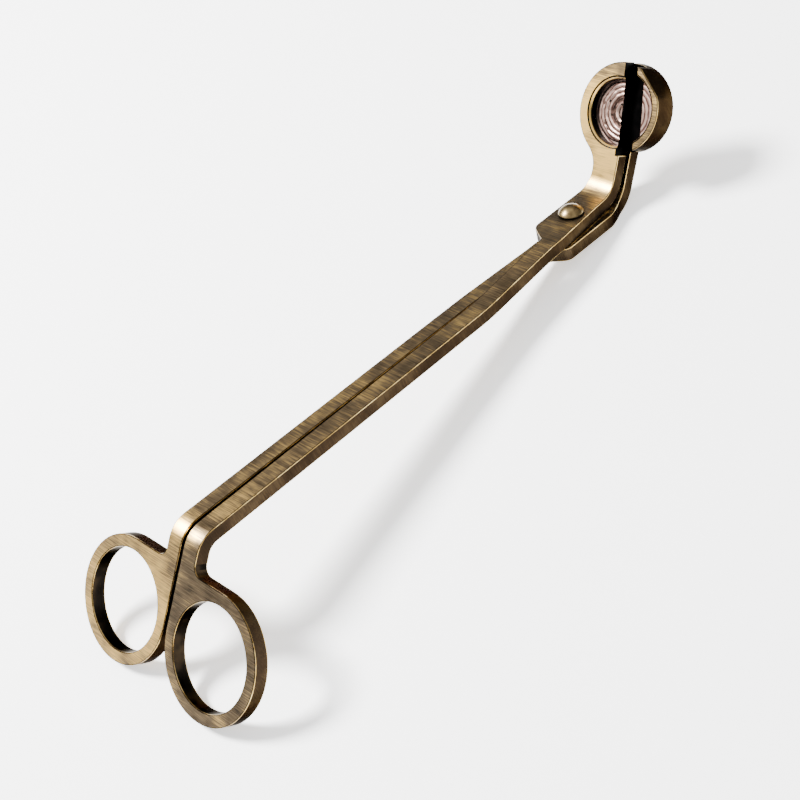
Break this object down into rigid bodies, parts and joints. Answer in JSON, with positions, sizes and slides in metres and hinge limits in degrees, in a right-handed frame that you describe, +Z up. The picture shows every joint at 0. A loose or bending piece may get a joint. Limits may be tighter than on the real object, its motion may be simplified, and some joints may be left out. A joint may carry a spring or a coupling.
{
  "type": "wick trimmer",
  "caption": "Candle wick trimmer: flat-bar levers with finger rings cross at a domed rivet and end in an upturned split cup that cuts a wick and catches the trimmings.",
  "frame": {"origin": "middle of the footprint, on the surface that the closed trimmer lies on", "axes": "+X along the tool from the finger rings to the cup, +Y to the left seen from above with the cup ahead, +Z up"},
  "size_m": [0.18, 0.0556, 0.0311],
  "materials": {
    "plated_steel": "antique bronze plating, brushed, worn bright along the edges",
    "rivet_steel": "antique bronze plating, smooth"
  },
  "bodies": {
    "lower": {"lower_lever": "plated_steel", "pivot_rivet": "rivet_steel"},
    "upper": {"upper_lever": "plated_steel"}
  },
  "joints": [
    {"name": "levers_open", "type": "hinge", "parent": "lower", "child": "upper", "pos_m": [0.05562, 0.00055, 0.00864], "axis": [0.1737, 0, 0.9848], "range_deg": [0, 25]}
  ]
}
